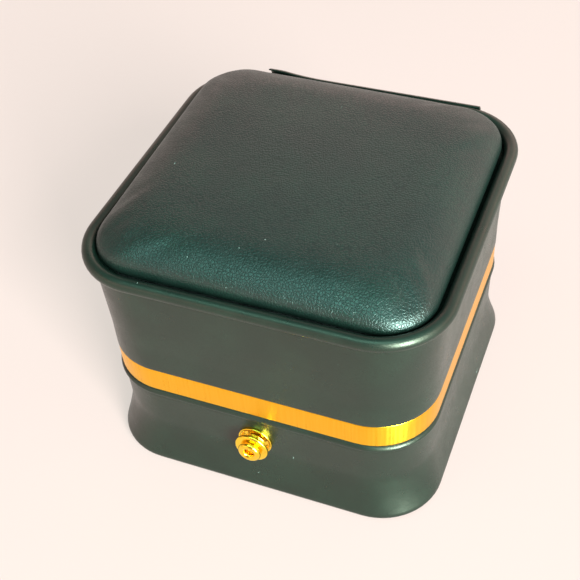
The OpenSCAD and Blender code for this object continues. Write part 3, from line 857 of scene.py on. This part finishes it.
def coil_spring():
    """The wire spring behind the latch slider, built at one fixed length."""
    low, high = extent("latch_spring")
    wire_r, turns, steps, sides = 0.2, 2.5, 28, 12
    coil_r = high.x - wire_r
    back, front = high.y - wire_r, low.y + wire_r
    count = int(turns * steps)
    path = []
    for i in range(count + 1):
        angle = 2 * math.pi * i / steps
        x, z = coil_r * math.cos(angle), BUTTON_Z + coil_r * math.sin(angle)
        path.append(Vector((x, front + (back - front) * i / count, z)))
    rows = []
    for i, point in enumerate(path):
        along = (path[min(i + 1, count)] - path[max(i - 1, 0)]).normalized()
        outward = Vector((point.x, 0, point.z - BUTTON_Z)).normalized()
        across = along.cross(outward).normalized()
        outward = across.cross(along)
        rows.append([
            (point + wire_r * (math.cos(a) * outward + math.sin(a) * across)) * MM
            for a in (2 * math.pi * k / sides for k in range(sides))
        ])
    spring = loft("coil_spring", rows)
    place_piece(spring, None, "steel", "latch_spring")
    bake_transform(spring)


def velvet_insert():
    """The flocked foam block round the ring cushion, with rounded edges, a well and the latch slot."""
    low, top, half = INSERT_LOW.z, INSERT_HIGH.z, INSERT_HIGH.x
    well, floor_z, edge = 19, 5.0, 0.9
    outer_r, well_r = half - CORNER_CENTRE, 1.5
    inner_start = well + edge
    rows = [plan_row(h, h, max(outer_r - (half - h), 0.5), low) for h in (8, 14, 20, half - 0.3)]
    rows += [plan_row(half, half, outer_r, z) for z in np.linspace(low + 0.3, top - edge - 0.5, 18)]
    for a in np.linspace(0, math.pi / 2, 8):
        h = half - edge + edge * math.cos(a)
        rows.append(plan_row(h, h, outer_r - (half - h), top - edge + edge * math.sin(a)))
    for i in range(1, 12):
        share = i / 12
        h = (half - edge) * (1 - share) + inner_start * share
        radius = (outer_r - edge) * (1 - share) + (well_r + edge) * share
        rows.append(plan_row(h, h, radius, top + 0.12 * math.sin(math.pi * share)))
    for a in np.linspace(math.pi / 2, math.pi, 8):
        h = inner_start + edge * math.cos(a)
        rows.append(plan_row(h, h, well_r + (h - well), top - edge + edge * math.sin(a)))
    rows += [plan_row(well, well, well_r, z) for z in np.linspace(top - edge - 0.5, floor_z, 14)]
    rows += [plan_row(h, h, min(well_r, h / 2), floor_z) for h in (14, 8)]
    insert = loft("velvet_insert", rows)
    latch_high = extent("latch_slider")[1]
    housing_low, housing_high = extent("latch_housing")
    screws_high = extent("latch_screws")[1]
    half_slot = latch_high.x + 0.4
    half_room = max(housing_high.x, screws_high.x) + 0.4
    back = housing_high.y + 0.05
    cut(
        insert,
        add_block((-half_slot, -half - 1, top - 3), (half_slot, -22.2, top + 1)),
        add_block((-half_room, -half - 1, housing_low.z - 0.4), (half_room, back, top - 1.2)),
    )
    place_piece(insert, "base", "velvet", "base_insert")


def ring_roll(name, node):
    """One padded velvet roll of the ring cushion, filled by simulation."""
    low, high = extent(node)
    swell = 0.25
    centre_y, radius = (low.y + high.y) / 2, (high.y - low.y) / 2 - swell
    centre_z = high.z - (high.y - low.y) / 2
    section = [(radius * math.cos(a), centre_z + radius * math.sin(a)) for a in np.linspace(0, math.pi, 40)]
    section += [(-radius, centre_z - 3), (-radius + 0.4, low.z + 0.5), (-radius + 0.9, low.z + 0.05)]
    section += [(radius - 0.9, low.z + 0.05), (radius - 0.4, low.z + 0.5), (radius, centre_z - 3)]
    rows, half = [], high.x - swell
    middle_z = (low.z + high.z) / 2
    one_end = [1, 0.995, 0.975, 0.94, 0.88, 0.8, 0.6, 0.4, 0.2]
    for share in one_end + [0] + [-share for share in reversed(one_end)]:
        tuck = max(0, abs(share) - 0.8) / 0.2
        shrink = 1 - 0.16 * tuck ** 3
        rows.append([
            Vector((half * share, centre_y + y * shrink, middle_z + (z - middle_z) * shrink)) * MM
            for y, z in section
        ])
    roll = loft(name, rows)
    inflate(roll, 4.0, lambda p: p[2] < low.z + 0.6)
    place_piece(roll, "base", "velvet", node)


def ceiling_pad():
    """The satin cushion inside the lid, filled by simulation."""
    half, low, high = CEILING_HIGH.x, CEILING_LOW.z, CEILING_HIGH.z
    radius = half - CORNER_CENTRE
    rows = [plan_row(half - 0.5, half - 0.5, radius - 0.3, high - 0.02)]
    drop, steps = high - low - 0.3, 20
    for i in range(1, steps + 1):
        inset = (half - 1) * (i / steps) ** 1.8
        edge = 1 - min(inset, 4) / 4
        depth = drop * (0.75 * math.sqrt(1 - edge * edge) + 0.25 * min(1, inset / 12))
        h = half - 0.3 - inset
        rows.append(plan_row(h, h, min(radius + 0.1 * inset, h), high - 0.3 - depth))
    pad = loft("ceiling_cushion", rows)
    inflate(pad, 3.0, lambda p: p[2] > high - 0.35)
    place_piece(pad, "lid", "satin", "lid_ceiling_pad")


def side_lining():
    """The satin lining inside the lid: a card-backed band with a rolled hem and a little slack."""
    low, high, outer = LINER_LOW.z, LINER_HIGH.z, LINER_HIGH.x
    thick = 0.4
    section = [(outer, high - 0.05), (outer, low + 0.4)]
    section += arc((outer - thick / 2 - 0.02, low + 0.28), 0.27, 0, -180, 8)
    section += [(outer - thick, z) for z in np.linspace(low + 0.6, high - 0.05, 40)]
    radius = outer - CORNER_CENTRE
    lining = loft("side_lining", [plan_row(h, h, radius - (outer - h), z) for h, z in section], ring=True)
    slack_depth, slack_rate = 0.16, Vector((0.16, 0.16, 0.05))
    for vertex in lining.data.vertices:
        p = vertex.co / MM
        inner = max(abs(p.x), abs(p.y)) < outer - thick / 2
        if inner and low + 1 < p.z < high - 1:
            ease = min(1, (p.z - low - 1) / 3, (high - 1 - p.z) / 3)
            slack = noise.noise(p * slack_rate)
            push = Vector((p.x, p.y, 0)).normalized() * slack * slack_depth * ease
            vertex.co -= push * MM
    strike_high = extent("strike_plate")[1]
    half, top = strike_high.x + 0.5, strike_high.z + 0.5
    cut(lining, add_block((-half, -outer - 1, low - 1), (half, -outer + 1, top)))
    place_piece(lining, "lid", "satin", "lid_side_liner")


def felt_pad():
    """The felt under the box, with soft edges."""
    half, low, high = FELT_HIGH.x, FELT_LOW.z, FELT_HIGH.z
    section = [(half - 0.25, high)] + arc((half - 0.22, high - 0.22), 0.22, 80, 0, 4)
    section += arc((half - 0.22, low + 0.22), 0.22, 0, -90, 4)
    section += [(half - inset, low + 0.01) for inset in (1, 3, 6, 10, 15, 20)]
    rows = [plan_row(h, h, max(h - CORNER_CENTRE, 0.6 * min(h, 6)), z) for h, z in section]
    pad = loft("felt_pad", rows)
    place_piece(pad, "base", "felt", "bottom_felt")


def finish_cad_nodes():
    """Gives every carried-over CAD node the procedural finish of its slot."""
    for subpart in frame["record"]["subparts"]:
        node = frame["nodes"][subpart["node"]]
        dress(node, SLOT_MATERIAL[subpart["material_slot"]])


# ---- Stage, light and camera ----


def towards(azimuth, elevation):
    """The direction from the box, in degrees. Azimuth 0 is in front, and 90 to the right."""
    a, e = math.radians(azimuth), math.radians(elevation)
    return Vector((math.sin(a) * math.cos(e), -math.cos(a) * math.cos(e), math.sin(e)))


def floor():
    """A plain pale tabletop."""
    n = Nodes("pale_table")
    n.settle(IOR=1.15)
    tone = n.mix(n.ramp(n.noise(0.004, 2.0, 0.5), 0.3, 0.7), (0.20, 0.100, 0.100), (0.215, 0.108, 0.108))
    n.colour(tone)
    n.settle(Emission_Color=(0.60, 0.58, 0.535, 1), Emission_Strength=1.0)
    n.rough(n.ramp(n.noise(0.6, 3.0, 0.6), 0.3, 0.7, 0.75, 0.9))
    work = bmesh.new()
    bmesh.ops.create_circle(work, cap_ends=True, radius=2.5, segments=96)
    table = finish_mesh("table", work)
    dress(table, n.material)


# Darker parts of the room: azimuth, elevation, cosines of the outer and inner edge, share of light left
DIM_PATCHES = [(-97, 42, 0.60, 0.96, 0.25), (18, 22, 0.70, 0.93, 0.25)]


def world():
    """Pale walls all round, bright and warm above the horizon, with a dim ceiling and two darker parts."""
    sky = bpy.data.worlds.new("studio")
    sky.use_nodes = True
    bpy.context.scene.world = sky
    tree = sky.node_tree
    background = tree.nodes["Background"]
    place = tree.nodes.new("ShaderNodeTexCoord")
    split = tree.nodes.new("ShaderNodeSeparateXYZ")
    ramp = tree.nodes.new("ShaderNodeValToRGB")
    stops = [
        (0.58, (1.00, 0.86, 0.76)), (0.66, (3.10, 2.00, 1.95)), (0.75, (1.40, 1.05, 0.98)),
        (0.81, (0.98, 0.92, 0.88)), (0.87, (0.46, 0.58, 0.58)), (1.00, (0.30, 0.62, 0.60)),
    ]
    while len(ramp.color_ramp.elements) < len(stops):
        ramp.color_ramp.elements.new(0.5)
    for element, (position, colour) in zip(ramp.color_ramp.elements, stops):
        element.position = position
        element.color = (*colour, 1)
    half = tree.nodes.new("ShaderNodeMath")
    half.operation = "MULTIPLY_ADD"
    half.inputs[1].default_value = 0.5
    half.inputs[2].default_value = 0.5
    tree.links.new(place.outputs["Generated"], split.inputs["Vector"])
    tree.links.new(split.outputs["Z"], half.inputs[0])
    tree.links.new(half.outputs["Value"], ramp.inputs["Fac"])
    tree.links.new(ramp.outputs["Color"], background.inputs["Color"])
    strength = None
    for azimuth, elevation, outer, inner, least in DIM_PATCHES:
        facing = tree.nodes.new("ShaderNodeVectorMath")
        facing.operation = "DOT_PRODUCT"
        facing.inputs[1].default_value = towards(azimuth, elevation)
        tree.links.new(place.outputs["Generated"], facing.inputs[0])
        dim = tree.nodes.new("ShaderNodeMapRange")
        dim.interpolation_type = "SMOOTHSTEP"
        for socket, number in zip(RANGE_SOCKETS, (outer, inner, 1.0, least)):
            dim.inputs[socket].default_value = number
        tree.links.new(facing.outputs["Value"], dim.inputs["Value"])
        if strength is None:
            strength = dim.outputs["Result"]
            continue
        both = tree.nodes.new("ShaderNodeMath")
        both.operation = "MULTIPLY"
        tree.links.new(strength, both.inputs[0])
        tree.links.new(dim.outputs["Result"], both.inputs[1])
        strength = both.outputs["Value"]
    tree.links.new(strength, background.inputs["Strength"])


LAMP_AIM = 0.02  # height of the point that the lamps face, in metres


def lamp(name, azimuth, elevation, distance, size, power, colour):
    """A soft area light that faces the box."""
    data = bpy.data.lights.new(name, "AREA")
    data.shape = "RECTANGLE"
    data.size, data.size_y = size
    data.energy = power
    data.color = colour
    obj = bpy.data.objects.new(name, data)
    back = towards(azimuth, elevation)
    obj.location = back * distance + Vector((0, 0, LAMP_AIM))
    obj.rotation_mode = "QUATERNION"
    obj.rotation_quaternion = back.to_track_quat("Z", "Y")
    bpy.context.scene.collection.objects.link(obj)


def camera():
    """The camera, placed by its aim, direction, roll and distance."""
    aim = Vector((-2.32, -4.61, 24.0)) * MM
    azimuth, elevation, roll = 24.66, 44.42, math.radians(-4.65)
    distance = 181.0 * MM
    back = towards(azimuth, elevation)
    side = towards(azimuth + 90, 0)
    up = back.cross(side)
    right = math.cos(roll) * side + math.sin(roll) * up
    upward = -math.sin(roll) * side + math.cos(roll) * up
    data = bpy.data.cameras.new("camera")
    data.sensor_width = 36
    data.lens = 65.36
    data.clip_start, data.clip_end = 0.01, 20
    obj = bpy.data.objects.new("camera", data)
    obj.matrix_world = Matrix((right, upward, back)).transposed().to_4x4()
    obj.location = aim + back * distance
    bpy.context.scene.collection.objects.link(obj)
    bpy.context.scene.camera = obj


camera()
base_cover()
lid_cover()
gilt_band()
padded_top()
hinge_strip()
push_button()
bezel()
coil_spring()
velvet_insert()
ring_roll("cushion_roll_front", "ring_roll_front")
ring_roll("cushion_roll_rear", "ring_roll_rear")
ceiling_pad()
side_lining()
felt_pad()
finish_cad_nodes()
floor()
world()
lamp("window", 50, 20, 1.2, (0.40, 0.90), 87, (0.66, 1.0, 0.91))
lamp("overhead", 5, 72, 1.4, (1.2, 0.6), 10.4, (0.42, 1.0, 0.92))
bpy.context.scene.view_settings.view_transform = "Standard"
